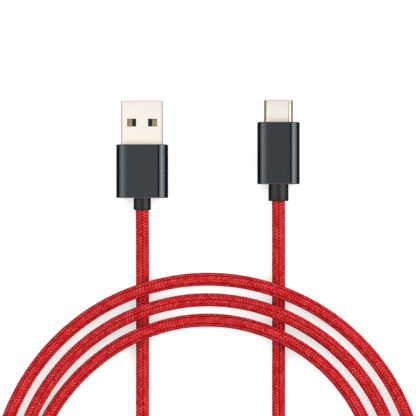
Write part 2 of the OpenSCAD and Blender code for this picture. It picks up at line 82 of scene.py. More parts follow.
STEEL_WORN = (0.72, 0.66, 0.58, 1)
# The next two: painted shade for the steel in inside corners, and how far ambient occlusion looks
# for them.
STEEL_CORNER_SHADE = (0.66, 0.57, 0.48, 1)
CORNER_SHADE_REACH = 2.2 * MM
# The colour of a narrow band at the mouth's rim, darker than the plating.
MOUTH_RIM_COLOUR = (0.66, 0.63, 0.58, 1)
MOUTH_FADE = (0.34 * MM, 0.16 * MM)  # behind the tip
A_FOLD_BAND = (5.5, 5.66, 5.96, 5.99)  # mm, where the folds are painted darker: painted shade over their bright reflection
# Painted shade for the folds, dark enough to tone down their bright reflection.
A_FOLD_PAINTED_SHADE = (0.35, 0.335, 0.315, 1)
SHEET_GRAIN = (1, 0.08, 1)  # runs along Y


class Builder:
    """Adds nodes to one node tree. A value given for a socket is a number or a link."""

    def __init__(self, tree):
        self.tree = tree

    def node(self, kind, inputs=None, **settings):
        made = self.tree.nodes.new(kind)
        for name, value in settings.items():
            setattr(made, name, value)
        for socket, value in (inputs or {}).items():
            self.feed(made.inputs[socket], value)
        return made

    def feed(self, socket, value):
        if isinstance(value, bpy.types.NodeSocket):
            self.tree.links.new(value, socket)
        elif value is not None:
            socket.default_value = value

    def math(self, operation, a, b=None, c=None):
        return self.node("ShaderNodeMath", {0: a, 1: b, 2: c}, operation=operation).outputs[0]

    def spread(self, value, low, high, to_low, to_high):
        """A value between low and high, spread smoothly from to_low to to_high."""
        return self.node("ShaderNodeMapRange", {0: value, 1: low, 2: high, 3: to_low, 4: to_high},
                         interpolation_type="SMOOTHSTEP").outputs[0]

    def mix(self, share, a, b):
        return self.node("ShaderNodeMix", {0: share, 6: a, 7: b}, data_type="RGBA").outputs[2]

    def bump(self, height, depth, strength=1.0):
        return self.node("ShaderNodeBump", {"Height": height, "Distance": depth,
                                            "Strength": strength}).outputs[0]


def new_group(name, inputs, outputs):
    """A node group whose sockets are (name, kind, value) and (name, kind)."""
    tree = bpy.data.node_groups.new(name, "ShaderNodeTree")
    for socket, kind, value in inputs:
        made = tree.interface.new_socket(socket, in_out="INPUT", socket_type="NodeSocket" + kind)
        made.default_value = value
    for socket, kind in outputs:
        tree.interface.new_socket(socket, in_out="OUTPUT", socket_type="NodeSocket" + kind)
    build = Builder(tree)
    return tree, build, build.node("NodeGroupInput").outputs, build.node("NodeGroupOutput").inputs


def fine_grain_group():
    """Patchy and fine noise laid through the solid, which Stretch can draw out."""
    tree, build, given, out = new_group(
        "fine_grain",
        [("Scale", "Float", 3000.0), ("Stretch", "Vector", (1, 1, 1))],
        [("Patches", "Float"), ("Grain", "Float")])
    place = build.node("ShaderNodeTexCoord").outputs["Object"]
    drawn = build.node("ShaderNodeVectorMath", {0: place, 1: given["Stretch"]},
                       operation="MULTIPLY").outputs[0]
    grain = build.node("ShaderNodeTexNoise", {"Vector": drawn, "Scale": given["Scale"],
                                              "Detail": 3.0, "Roughness": 0.6})
    wide = build.math("MULTIPLY", given["Scale"], 0.08)
    patches = build.node("ShaderNodeTexNoise", {"Vector": place, "Scale": wide, "Detail": 2.0})
    build.feed(out["Grain"], grain.outputs[0])
    build.feed(out["Patches"], patches.outputs[0])
    return tree


def edge_wear_group():
    """A mask of the sharp edges, broken up as handling wears them."""
    tree, build, given, out = new_group(
        "edge_wear", [("Width", "Float", 0.2 * MM), ("Scale", "Float", 2500.0)],
        [("Mask", "Float")])
    true_normal = build.node("ShaderNodeNewGeometry").outputs["Normal"]
    rounded = build.node("ShaderNodeBevel", {"Radius": given["Width"]}, samples=4).outputs[0]
    likeness = build.node("ShaderNodeVectorMath", {0: true_normal, 1: rounded},
                          operation="DOT_PRODUCT").outputs["Value"]
    edge = build.spread(likeness, 0.75, 0.99, 1.0, 0.0)
    place = build.node("ShaderNodeTexCoord").outputs["Object"]
    broken = build.node("ShaderNodeTexNoise", {"Vector": place, "Scale": given["Scale"],
                                               "Detail": 4.0}).outputs[0]
    build.feed(out["Mask"], build.math("MULTIPLY", edge, build.spread(broken, 0.3, 0.7, 0.2, 1.0)))
    return tree


FINE_GRAIN = fine_grain_group()
EDGE_WEAR = edge_wear_group()


def new_material(name, colour, metallic=0.0):
    material = bpy.data.materials.new(name)
    material.use_nodes = True
    material.diffuse_color = colour
    shader = material.node_tree.nodes["Principled BSDF"]
    shader.inputs["Base Color"].default_value = colour
    shader.inputs["Metallic"].default_value = metallic
    return material, Builder(material.node_tree), shader.inputs


def grained(name, colour, shade, roughness, scale, depth, metallic=0.0, stretch=(1, 1, 1),
            worn=None, wear_width=0.15 * MM, corner_shade=None):
    """A solid finish: colour drifts to shade in patches, grain roughens and dents it,
    sharp edges wear to the worn colour, and inside corners get painted shade where
    ambient occlusion finds them closed in."""
    material, build, surface = new_material(name, colour, metallic)
    grain = build.node("ShaderNodeGroup", node_tree=FINE_GRAIN)
    build.feed(grain.inputs["Scale"], scale)
    build.feed(grain.inputs["Stretch"], stretch)
    patches = build.spread(grain.outputs["Patches"], 0.3, 0.7, 0.0, 1.0)
    tint = build.mix(patches, colour, shade)
    low, high = roughness
    rough = build.spread(grain.outputs["Grain"], 0.25, 0.75, low, high)
    if worn:
        wear = build.node("ShaderNodeGroup", node_tree=EDGE_WEAR)
        build.feed(wear.inputs["Width"], wear_width)
        tint = build.mix(wear.outputs["Mask"], tint, worn)
    # Painted shade: the colour darkens where ambient occlusion finds the surface closed in.
    if corner_shade:
        open_share = build.node("ShaderNodeAmbientOcclusion", {"Distance": CORNER_SHADE_REACH},
                                samples=8).outputs["AO"]
        tint = build.mix(build.spread(open_share, 0.5, 0.97, 1.0, 0.0), tint, corner_shade)
    build.feed(surface["Base Color"], tint)
    build.feed(surface["Roughness"], rough)
    build.feed(surface["Normal"], build.bump(grain.outputs["Grain"], depth, 0.6))
    return material


CORNER_GAP = 0.12 * MM  # from a corner's round to the first point on the flat


def rounded_outline(width, height, radius, arc_steps, cuts=()):
    """Points (x, z) round a rectangle with round corners, from the middle of its underside
    towards +X. Each flat has a point close to its corners, and one at each cut along x."""
    flat_x, flat_z = width / 2 - radius, height / 2 - radius
    along = sorted({-flat_x + CORNER_GAP, flat_x - CORNER_GAP, *cuts})
    upright = [-flat_z + CORNER_GAP, flat_z - CORNER_GAP] if flat_z > CORNER_GAP else []
    points = [(x, -height / 2) for x in along if x > 0]
    for corner, (side_x, side_z) in enumerate(((1, -1), (1, 1), (-1, 1), (-1, -1))):
        for step in range(arc_steps + 1):
            turn = math.pi / 2 * (corner - 1 + step / arc_steps)
            points.append((side_x * flat_x + radius * math.cos(turn),
                           side_z * flat_z + radius * math.sin(turn)))
        if corner == 0:
            points += [(width / 2, z) for z in upright]
        elif corner == 1:
            points += [(x, height / 2) for x in reversed(along)]
        elif corner == 2:
            points += [(-width / 2, z) for z in reversed(upright)]
    return points + [(x, -height / 2) for x in along if x < 0]


WELD = 1e-7  # points closer than this become one
SHARP = math.radians(30)  # an edge that turns more isn't shaded smooth
SOFTENED = math.radians(35)  # an edge that turns more is rounded off


def new_piece(name, verts, faces, material):
    mesh = bpy.data.meshes.new(name)
    mesh.from_pydata([tuple(v) for v in verts], [], faces)
    shape = bmesh.new()
    shape.from_mesh(mesh)
    bmesh.ops.remove_doubles(shape, verts=shape.verts, dist=WELD)
    bmesh.ops.recalc_face_normals(shape, faces=shape.faces)
    shape.to_mesh(mesh)
    shape.free()
    mesh.polygons.foreach_set("use_smooth", np.ones(len(mesh.polygons), bool))
    mesh.set_sharp_from_angle(angle=SHARP)
    mesh.materials.append(material)
    piece = bpy.data.objects.new(name, mesh)
    bpy.context.scene.collection.objects.link(piece)
    return piece


def soften(piece, width, steps=2):
    """Rounds off the sharp edges and keeps flat faces flat."""
    bevel = piece.modifiers.new("soften", "BEVEL")
    bevel.width = width
    bevel.segments = steps
    bevel.limit_method = "ANGLE"
    bevel.angle_limit = SOFTENED
    bevel.harden_normals = True


def place_of(node):
    """A node's middle across and upright, and where it ends in front and behind."""
    low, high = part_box(node)
    return (low.x + high.x) / 2, (low.z + high.z) / 2, high.y, low.y


def stand_for(piece, node):
    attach(piece, "root")
    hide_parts(node)


def shell_steel(name, node, band, band_shade):
    """Plated steel, darker in a narrow band at the mouth's rim. A band to each side is
    painted darker, as painted shade that tones down its bright reflection: it starts,
    is full, starts to end and ends at four distances from the plug's centre line."""
    x, _, tip, _ = place_of(node)
    material = grained(name, STEEL, STEEL_SHADE, (0.09, 0.13), 5000, 0.0012 * MM, metallic=1.0,
                       stretch=SHEET_GRAIN, worn=STEEL_WORN, corner_shade=STEEL_CORNER_SHADE)
    build = Builder(material.node_tree)
    base = material.node_tree.nodes["Principled BSDF"].inputs["Base Color"]
    tint = base.links[0].from_socket
    place = build.node("ShaderNodeSeparateXYZ",
                       {0: build.node("ShaderNodeTexCoord").outputs["Object"]}).outputs
    aside = build.math("ABSOLUTE", build.math("SUBTRACT", place[0], x))
    start, full, fade, end = (distance * MM for distance in band)
    shaded_band = build.math("MULTIPLY", build.spread(aside, start, full, 0.0, 1.0),
                        build.spread(aside, fade, end, 1.0, 0.0))
    mouth = build.spread(place[1], tip - MOUTH_FADE[0], tip - MOUTH_FADE[1], 0.0, 1.0)
    # Painted shade: the side bands are mixed towards the darker band colour. The mouth's rim goes
    # to its own darker colour.
    build.feed(base, build.mix(mouth, build.mix(shaded_band, tint, band_shade), MOUTH_RIM_COLOUR))
    return material


def folded_shell(name, node):
    x, z, tip, end = place_of(node)
    low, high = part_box(node)
    inner = A_WINDOW_X - A_WINDOW_WIDTH / 2
    outer = A_WINDOW_X + A_WINDOW_WIDTH / 2
    cuts = (-outer, -inner, inner, outer)
    window = (A_WINDOW_FROM_TIP, A_WINDOW_FROM_TIP + A_WINDOW_LENGTH)
    rows = sorted([0, A_LIP_ROW, A_MOUTH_LENGTH, tip - end, *window]
                  + [at * MM for at, _ in A_CLINCH])
    clinch_at = [at * MM for at, _ in A_CLINCH]
    clinch_aside = [aside * MM for _, aside in A_CLINCH]
    verts = []
    for back in rows:
        inset = A_MOUTH_INSET * (1 - back / A_MOUTH_LENGTH) if back < A_MOUTH_LENGTH else 0
        ring = rounded_outline(high.x - low.x - 2 * inset, high.z - low.z - 2 * inset,
                               A_SHELL_RADIUS - inset / 2, FOLD_STEPS, cuts)
        aside = np.interp(back, clinch_at, clinch_aside)
        seam_z = -(high.z - low.z) / 2 + inset
        ring = [(aside + A_SEAM_GAP / 2, seam_z)] + ring + [(aside - A_SEAM_GAP / 2, seam_z)]
        verts += [(x + px, tip - back, z + pz) for px, pz in ring]
    count = len(verts) // len(rows)
    faces = []
    for row in range(len(rows) - 1):
        in_window = window[0] <= (rows[row] + rows[row + 1]) / 2 <= window[1]
        for k in range(count - 1):
            a, b = verts[row * count + k], verts[row * count + k + 1]
            flat = abs(a[2] - b[2]) < 1e-9
            if in_window and flat and inner < abs((a[0] + b[0]) / 2 - x) < outer:
                continue
            faces.append((row * count + k, (row + 1) * count + k,
                          (row + 1) * count + k + 1, row * count + k + 1))
    steel = shell_steel("plated_steel", node, A_FOLD_BAND, A_FOLD_PAINTED_SHADE)
    piece = new_piece(name, verts, faces, steel)
    if piece.data.polygons[0].normal.z > 0:
        piece.data.flip_normals()
    sheet = piece.modifiers.new("sheet", "SOLIDIFY")
    sheet.thickness = A_SHEET
    sheet.offset = -1
    sheet.use_even_offset = True
    soften(piece, A_EDGE)
    stand_for(piece, node)


folded_shell("usb_a_folded_shell", "usb_a_shell")


# ---- USB-A insulator ----------------------------------------------------------------
# Green glass-filled plastic: a tongue that carries the contacts, and a block behind it
# that fills the shell.
green_plastic = grained("green_plastic", (0.010, 0.050, 0.012, 1), (0.008, 0.042, 0.010, 1),
                        (0.42, 0.6), 9000, 0.01 * MM)


def dress(node, material, edge=0.03 * MM):
    """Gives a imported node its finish, and rounds its edges by a mould's small radius."""
    piece = nodes[node]
    piece.material_slots[0].material = material
    soften(piece, edge, 1)


dress("usb_a_insulator", green_plastic)


# ---- USB-A contacts -----------------------------------------------------------------
# Four strips of copper alloy, stamped, plated with gold and pressed into the tongue.
# The outer two reach nearer the mouth, so that power meets before data.
STRIP_GRAIN = (1, 0.1, 1)  # runs along Y
gold_contact = grained("gold_contact", (0.54, 0.43, 0.29, 1), (0.40, 0.30, 0.18, 1),
                       (0.22, 0.36), 7000, 0.003 * MM, metallic=1.0, stretch=STRIP_GRAIN)
for signal in ("vbus", "d_minus", "d_plus", "gnd"):
    dress("usb_a_contact_" + signal, gold_contact)


# ---- Solder joints and crimp rings --------------------------------------------------
# Tin solder holds each wire to its contact or pad, and a ring of tinned brass is
# squeezed round the jacket.
tin_solder = grained("tin_solder", (0.70, 0.71, 0.72, 1), (0.58, 0.59, 0.60, 1),
                     (0.25, 0.5), 4000, 0.02 * MM, metallic=1.0)
for plug in ("usb_a", "usb_c"):
    dress(plug + "_solder_joints", tin_solder)
    dress(plug + "_crimp_ring", tin_solder)


# ---- Wires and jacket ---------------------------------------------------------------
# Power, two data and ground: stranded copper in coloured plastic, four in a soft black
# jacket that is stripped back inside each plug.
WIRE_COLOURS = {
    "vbus": (0.55, 0.02, 0.02, 1), "d_minus": (0.75, 0.75, 0.72, 1),
    "d_plus": (0.03, 0.30, 0.07, 1), "gnd": (0.015, 0.015, 0.016, 1),
}


def soft_plastic(name, colour):
    shade = tuple(0.85 * c for c in colour[:3]) + (1,)
    return grained(name, colour, shade, (0.35, 0.5), 3000, 0.006 * MM)


for signal, colour in WIRE_COLOURS.items():
    insulation = soft_plastic("insulation_" + signal, colour)
    for plug in ("usb_a", "usb_c"):
        dress(plug + "_wire_" + signal, insulation)
black_jacket = soft_plastic("black_jacket", (0.02, 0.02, 0.021, 1))
for plug in ("usb_a", "usb_c"):
    dress(plug + "_cord_end", black_jacket)


# ---- Inner moulds -------------------------------------------------------------------
# Milky polyethylene, shot round the wires, their solder joints and the crimp ring. It
# locks them in the plug and takes the pull on the cord.
moulded_core = grained("moulded_core", (0.72, 0.71, 0.67, 1), (0.66, 0.65, 0.60, 1),
                       (0.4, 0.55), 2500, 0.02 * MM)
for plug in ("usb_a", "usb_c"):
    dress(plug + "_inner_mould", moulded_core)


# ---- Front plates -------------------------------------------------------------------
# Black plastic, injection-moulded. Each plate closes the front of a housing round its
# shell and is pressed in flush with the rim.
black_plastic = grained("black_plastic", (0.018, 0.018, 0.02, 1), (0.014, 0.014, 0.015, 1),
                        (0.4, 0.6), 8000, 0.01 * MM)
for plug in ("usb_a", "usb_c"):
    dress(plug + "_front_plate", black_plastic, 0.06 * MM)


# ---- Housings -----------------------------------------------------------------------
# Aluminium, extruded and cut to length, with a wall behind for the cord. The surface is
# blasted fine and anodised dark grey. The rims are chamfered, the rear one after
# anodising, so that it shows paler metal. Its paler colour is also a painted highlight
# for the light that the rear rim catches from behind.
A_BODY_RADIUS = 3.0 * MM
C_BODY_RADIUS = 2.8 * MM
HOUSING_WALL = 0.7 * MM
REAR_WALL = 1.0 * MM
NECK_RADIUS = 2.25 * MM
RIM_CHAMFER = 0.18 * MM
RIM_EDGE = 0.035 * MM
OUTLINE_CUTS = (-2 * MM, 2 * MM)
CORNER_STEPS = 16
BODY_STEPS = 6
ANODISED = (0.052, 0.060, 0.065, 1)

anodised_aluminium = grained("anodised_aluminium", ANODISED, (0.047, 0.055, 0.060, 1),
                             (0.12, 0.17), 12000, 0.002 * MM, metallic=1.0,
                             worn=(0.17, 0.175, 0.185, 1), wear_width=0.1 * MM)
# The rear chamfer's paler bare metal, also a painted highlight for the light it catches from
# behind.
cut_aluminium_highlight = grained("cut_aluminium_highlight", (0.40, 0.41, 0.43, 1), (0.36, 0.37, 0.39, 1),
                        (0.2, 0.3), 12000, 0.002 * MM, metallic=1.0)


def loft(name, rings, material, closed=False):
    """A skin through rings of equal count. Closed, the last ring joins the first."""
    count = len(rings[0])
    verts = [point for ring in rings for point in ring]
    faces = []
    for row in range(len(rings) - (0 if closed else 1)):
        this, following = row * count, (row + 1) % len(rings) * count
        faces += [(this + k, following + k, following + (k + 1) % count, this + (k + 1) % count)
                  for k in range(count)]
    return new_piece(name, verts, faces, material)


def circle_by(outline, radius):
    """A circle whose points lie in the same directions as the outline's."""
    return [(radius * px / math.hypot(px, pz), radius * pz / math.hypot(px, pz))
            for px, pz in outline]


def housing(name, node, radius):
    x, z, front, rear = place_of(node)
    low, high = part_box(node)
    width, height = high.x - low.x, high.z - low.z

    def ring(y, inset):
        outline = rounded_outline(width - 2 * inset, height - 2 * inset, radius - inset,
                                  CORNER_STEPS, OUTLINE_CUTS)
        return [(x + px, y, z + pz) for px, pz in outline]

    def neck(y):
        outline = rounded_outline(width, height, radius, CORNER_STEPS, OUTLINE_CUTS)
        return [(x + px, y, z + pz) for px, pz in circle_by(outline, NECK_RADIUS)]

    inside = rear + REAR_WALL
    rings = [ring(front, HOUSING_WALL), ring(front, RIM_CHAMFER), ring(front - RIM_CHAMFER, 0)]
    for step in range(1, BODY_STEPS):
        share = step / BODY_STEPS
        rings.append(ring((front - RIM_CHAMFER) * (1 - share) + (rear + RIM_CHAMFER) * share, 0))
    rings += [ring(rear + RIM_CHAMFER, 0), ring(rear, RIM_CHAMFER), neck(rear), neck(inside),
              ring(inside, HOUSING_WALL)]
    piece = loft(name, rings, anodised_aluminium, closed=True)
    piece.data.materials.append(cut_aluminium_highlight)
    on_chamfer = (0.1 * RIM_CHAMFER, 0.9 * RIM_CHAMFER)
    for face in piece.data.polygons:
        if on_chamfer[0] < face.center.y - rear < on_chamfer[1]:
            face.material_index = 1
    soften(piece, RIM_EDGE)
    stand_for(piece, node)
    return piece


housing("usb_a_aluminium_housing", "usb_a_housing", A_BODY_RADIUS)
housing_c = housing("usb_c_aluminium_housing", "usb_c_housing", C_BODY_RADIUS)


# ---- Strain reliefs -----------------------------------------------------------------
# Soft dark rubber, moulded on the cord. A flange holds each one inside the rear wall,
# and the barrel stands out behind with a small round at its rim.
CORD_D = 3.7 * MM
FLANGE_LENGTH = 1.5 * MM
A_FLANGE = (9.0 * MM, 5.6 * MM)
C_FLANGE = (8.4 * MM, 5.0 * MM)
FLANGE_CHAMFER = 0.1 * MM
BARREL_ROUND = 0.3 * MM
ROUND_STEPS = 4
RELIEF_POINTS = 64
RUBBER_SPECULAR = 0.33

grey_rubber = grained("grey_rubber", (0.007, 0.006, 0.006, 1), (0.005, 0.0045, 0.0045, 1),
                      (0.34, 0.46), 6000, 0.012 * MM)
rubber_surface = grey_rubber.node_tree.nodes["Principled BSDF"].inputs
rubber_surface["Specular IOR Level"].default_value = RUBBER_SPECULAR


def flange_reach(turn, width, height):
    """Distance from the middle of a flange with round ends to its edge."""
    across, upright = abs(math.cos(turn)), abs(math.sin(turn))
    flat = (width - height) / 2
    if upright > 0 and height / 2 * across / upright <= flat:
        return height / 2 / upright
    return flat * across + math.sqrt((flat * across) ** 2 - flat ** 2 + (height / 2) ** 2)


def strain_relief(name, node, housing_node, flange):
    x, z, front, rear = place_of(node)
    wall_back = place_of(housing_node)[3]
    barrel = relief_radius(node, wall_back)
    turns = [2 * math.pi * k / RELIEF_POINTS for k in range(RELIEF_POINTS)]

    def ring(y, reach):
        return [(x + reach(t) * math.cos(t), y, z + reach(t) * math.sin(t)) for t in turns]

    def round_ring(y, radius):
        return ring(y, lambda t: radius)

    def flange_ring(y, inset):
        return ring(y, lambda t: flange_reach(t, flange[0] - 2 * inset, flange[1] - 2 * inset))

    wall_front = wall_back + REAR_WALL
    rings = [round_ring(wall_front + FLANGE_LENGTH, CORD_D / 2),
             flange_ring(wall_front + FLANGE_LENGTH, FLANGE_CHAMFER),
             flange_ring(wall_front + FLANGE_LENGTH - FLANGE_CHAMFER, 0),
             flange_ring(wall_front, 0), round_ring(wall_front, NECK_RADIUS),
             round_ring(wall_back, NECK_RADIUS), round_ring(wall_back, barrel),
             round_ring((wall_back + rear) / 2, barrel)]
    for step in range(ROUND_STEPS + 1):
        turn = math.pi / 2 * step / ROUND_STEPS
        rings.append(round_ring(rear + BARREL_ROUND * (1 - math.sin(turn)),
                                barrel - BARREL_ROUND * (1 - math.cos(turn))))
    rings.append(round_ring(rear, CORD_D / 2))
    piece = loft(name, rings, grey_rubber, closed=True)
    stand_for(piece, node)
    return piece


def relief_radius(node, wall_back):
    """The barrel's radius: the widest that the node is behind the housing."""
    mesh = nodes[node].data
    x, z, _, _ = place_of(node)
    behind = [v.co for v in mesh.vertices if v.co.y < wall_back - 1e-6]
    return max(math.hypot(v.x - x, v.z - z) for v in behind)


strain_relief("usb_a_rubber_relief", "usb_a_strain_relief", "usb_a_housing", A_FLANGE)
relief_c = strain_relief("usb_c_rubber_relief", "usb_c_strain_relief", "usb_c_housing", C_FLANGE)


# ---- USB-C shell --------------------------------------------------------------------
# Steel, deep-drawn in one piece without a seam and plated as the USB-A shell is. The
# lip is rolled so that it finds its way into the socket. Its round ends are painted a
# darker brown: painted shade that tones down their bright reflection.
C_SHEET = 0.25 * MM
LIP_STEPS = 6
C_END_BAND = (2.95, 3.35, 5.0, 5.1)  # mm, the round ends
# Painted shade for the round ends, which tones down their bright reflection.
C_END_PAINTED_SHADE = (0.30, 0.25, 0.195, 1)


def drawn_shell(name, node):
    x, z, tip, end = place_of(node)
    low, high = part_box(node)
    width, height = high.x - low.x, high.z - low.z

    def ring(y, inset):
        outline = rounded_outline(width - 2 * inset, height - 2 * inset, height / 2 - inset,
                                  CORNER_STEPS)
        return [(x + px, y, z + pz) for px, pz in outline]

    rings = [ring(end, C_SHEET), ring(end, 0), ring((tip + end) / 2, 0)]
    lip = C_SHEET / 2
    for step in range(LIP_STEPS + 1):
        turn = math.pi * step / LIP_STEPS
        rings.append(ring(tip - lip * (1 - math.sin(turn)), lip * (1 - math.cos(turn))))
    steel = shell_steel("drawn_steel", node, C_END_BAND, C_END_PAINTED_SHADE)
    piece = loft(name, rings, steel, closed=True)
    stand_for(piece, node)
    return piece


shell_c = drawn_shell("usb_c_drawn_shell", "usb_c_shell")


# ---- USB-C insides ------------------------------------------------------------------
# A black insulator with a slot, two rows of contacts, latch and ground springs, and a
# small board with the pull-up resistor, all under a folded steel shield.
THIN_EDGE = 0.015 * MM
dress("usb_c_insulator", black_plastic)
dress("usb_c_contacts_upper", gold_contact, THIN_EDGE)
dress("usb_c_contacts_lower", gold_contact, THIN_EDGE)
spring_steel = grained("spring_steel", (0.58, 0.57, 0.55, 1), (0.50, 0.49, 0.47, 1),
                       (0.22, 0.34), 6000, 0.004 * MM, metallic=1.0, stretch=STRIP_GRAIN)
for part in ("latch_springs", "ground_springs", "rear_shield"):
    dress("usb_c_" + part, spring_steel, THIN_EDGE)
green_board = grained("green_board", (0.01, 0.11, 0.045, 1), (0.02, 0.15, 0.06, 1),
                      (0.25, 0.4), 5000, 0.008 * MM)
dress("usb_c_board", green_board)
dress("usb_c_pull_up_resistor", black_plastic)


# ---- Cord ---------------------------------------------------------------------------
# Four wires in a jacket under a sleeve woven from red nylon. It leaves the USB-A strain
# relief, winds two and a half turns anticlockwise over both of its own tails, and ends
# in the USB-C strain relief.
COIL_CENTRE = (0.0, -0.0985)
COIL_RADII = [(0, 0.0500), (0.36, 0.0503), (0.40, 0.0508), (0.425, 0.0514), (0.5, 0.0526),
              (0.62, 0.0530), (0.8, 0.0545), (1, 0.0560), (1.4, 0.0561), (1.5, 0.0566),
              (1.6, 0.0575), (1.8, 0.0603), (2, 0.0620), (2.5, 0.0620)]  # turns, radius
COIL_STRETCH = 1.008  # it lies a little longer along Y than across
STEPS_PER_TURN = 72
TAIL_C_BEND = (-0.021, 0.0415)  # centre x and radius of the USB-C tail's bend
SLEEVE_START = 1.0 * MM
TAIL_HUMP = (1.2, 3.0)  # cord diameters from a tail: where a turn starts down, and how long
BEND_HUMP = (0.6, 1.4)  # the same, over the USB-C tail's bend
CURVE_STEPS = 40
CORD_STIFFNESS = 2 * MM

# x, y and the height of the cord's underside above the floor, in cord diameters
TAIL_A_ROUTE = [
    (-0.019, -0.024, 0.25), (-0.019, -0.033, 0), (-0.019, -0.042, 0),
    (-0.019, -0.051, 0), (-0.019, -0.060, 0), (-0.019, -0.070, 0),
    (-0.019, -0.080, 0), (-0.019, -0.0895, 0), (-0.019, -0.0985, 0),
    (-0.018, -0.1075, 0), (-0.0145, -0.1155, 0), (-0.009, -0.123, 0),
    (-0.002, -0.1285, 0), (0.0065, -0.132, 0), (0.0155, -0.133, 0),
    (0.0245, -0.132, 0), (0.033, -0.1285, 0), (0.040, -0.123, 0),
    (0.0455, -0.1155, 0), (0.049, -0.1075, 0), (0.050, -0.0985, 0),
]
TAIL_C_ROUTE = [
    (-0.062, -0.0985, 0), (-0.0605, -0.109, 0), (-0.057, -0.1195, 0),
    (-0.0505, -0.128, 0), (-0.042, -0.1345, 0), (-0.0315, -0.1385, 0),
    (-0.021, -0.140, 0), (-0.0105, -0.1385, 0.4), (0, -0.1345, 1),
    (0.0085, -0.128, 1), (0.015, -0.1195, 0.4), (0.019, -0.109, 0),
    (0.0205, -0.0985, 0), (0.0205, -0.0885, 0), (0.0205, -0.079, 0),
    (0.0205, -0.0695, 0), (0.0205, -0.060, 0), (0.0205, -0.051, 0),
    (0.0205, -0.042, 0), (0.0205, -0.033, 0), (0.0205, -0.023, 0.2),
]


def ease(x):
    x = min(max(x, 0), 1)
    return x * x * (3 - 2 * x)


def coil_lift(x, y):
    """How far a turn rides up over the tails where it crosses them, in cord diameters."""
    if y > COIL_CENTRE[1]:
        gap = min(abs(x - TAIL_A_ROUTE[0][0]), abs(x - TAIL_C_ROUTE[-1][0])) / CORD_D
        return 1 - ease((gap - TAIL_HUMP[0]) / TAIL_HUMP[1])
    if x > 0:
        return 0.0
    bend_x, bend_radius = TAIL_C_BEND
    gap = abs(math.hypot(x - bend_x, y - COIL_CENTRE[1]) - bend_radius) / CORD_D
    return 1 - ease((gap - BEND_HUMP[0]) / BEND_HUMP[1])


def coil_points():
    points = []
    at, radii = zip(*COIL_RADII)
    for step in range(1, int(at[-1] * STEPS_PER_TURN)):
        turns = step / STEPS_PER_TURN
        radius = np.interp(turns, at, radii)
        x = COIL_CENTRE[0] + radius * math.cos(2 * math.pi * turns)
        y = COIL_CENTRE[1] + radius * COIL_STRETCH * math.sin(2 * math.pi * turns)
        points.append((x, y, coil_lift(x, y)))
    return points


def evenly(line, spacing):
    """The line again, with points at an even spacing, and its length."""
    run = np.concatenate(([0], np.cumsum(np.linalg.norm(np.diff(line, axis=0), axis=1))))
    even = np.linspace(0, run[-1], int(round(run[-1] / spacing)) + 1)
    return np.column_stack([np.interp(even, run, line[:, k]) for k in range(3)]), run[-1]


def through(points):
    """A Catmull-Rom curve through the points."""
    p = np.array(points)
    p = np.vstack((2 * p[0] - p[1], p, 2 * p[-1] - p[-2]))
    curve = []
    for i in range(1, len(p) - 2):
        a, b, c, d = p[i - 1:i + 3]
        for t in np.linspace(0, 1, CURVE_STEPS, endpoint=False):
            curve.append(0.5 * (2 * b + (c - a) * t + (2 * a - 5 * b + 4 * c - d) * t * t
                                + (3 * b - a - 3 * c + d) * t ** 3))
    return np.array(curve + [p[-2]])


def stiffened(line, width, step=0.5 * MM):
    """The line smoothed over a width, as the cord's own stiffness does."""
    line, _ = evenly(line, step)
    reach = int(3 * width / step)
    weights = np.exp(-0.5 * (np.arange(-reach, reach + 1) * step / width) ** 2)
    weights /= weights.sum()
    padded = np.vstack((2 * line[0] - line[reach:0:-1], line,
                        2 * line[-1] - line[-2:-reach - 2:-1]))
    return np.column_stack([np.convolve(padded[:, k], weights, "valid") for k in range(3)])


exit_a_x, exit_a_z, _, exit_a_y = place_of("usb_a_strain_relief")
exit_c_x, exit_c_z, _, exit_c_y = place_of("usb_c_strain_relief")
on_floor = [(x, y, CORD_D * (0.5 + lift))
            for x, y, lift in TAIL_A_ROUTE + coil_points() + TAIL_C_ROUTE]
route = ([(exit_a_x, exit_a_y + SLEEVE_START, exit_a_z), (exit_a_x, exit_a_y, exit_a_z)]
         + on_floor
         + [(exit_c_x, exit_c_y, exit_c_z), (exit_c_x, exit_c_y + SLEEVE_START, exit_c_z)])

# The sleeve is woven in columns, whose strands lean left and right by turns. Rows of the
# mesh follow the strands: each strand is a raised row with a sunk row beside it, and it
# dips at its column's borders, where it passes under its neighbours.
COLUMNS = 10
POINTS_PER_COLUMN = 3
STRAND_PITCH = 0.9 * MM
ROWS_PER_STRAND = 2
STRAND_CROWN = 0.09 * MM
STRAND_UNEVEN = 0.012 * MM
UNEVEN_SEED = 5
STRAND_GROOVE = 0.10 * MM
BORDER_DIPS = (0.25 * MM, 0.10 * MM)  # at the columns' borders, deep and shallow by turns
TURNED_COLUMNS = 4  # how far the weave turns round the cord from one end to the other
NYLON = (0.69, 0.011, 0.016, 1)
# Brighter strands at random. Their pinker tint is also a painted highlight for the nylon's sheen.
NYLON_BRIGHT_AND_SHEEN = (0.88, 0.062, 0.068, 1)
# Painted shade in the grooves and at the columns' borders.
NYLON_GROOVE_SHADE = (0.13, 0.0, 0.001, 1)
NYLON_ROUGHNESS = (0.42, 0.58)
NYLON_SPECULAR = 0.06
GROOVE_EDGE = (0.16, 0.48)  # from a strand's crown, in strand pitches
DIP_EDGE = (0.26, 0.48)  # from a column's middle, in column widths
SHALLOW_DIP = 0.4
DARKEST = 0.95
FILAMENTS = 7
FILAMENT_HEIGHT = 0.10
WEAVE_RELIEF = 0.06 * MM
BAKE_STRIPS = 11
STRIP_MARGIN = 0.02


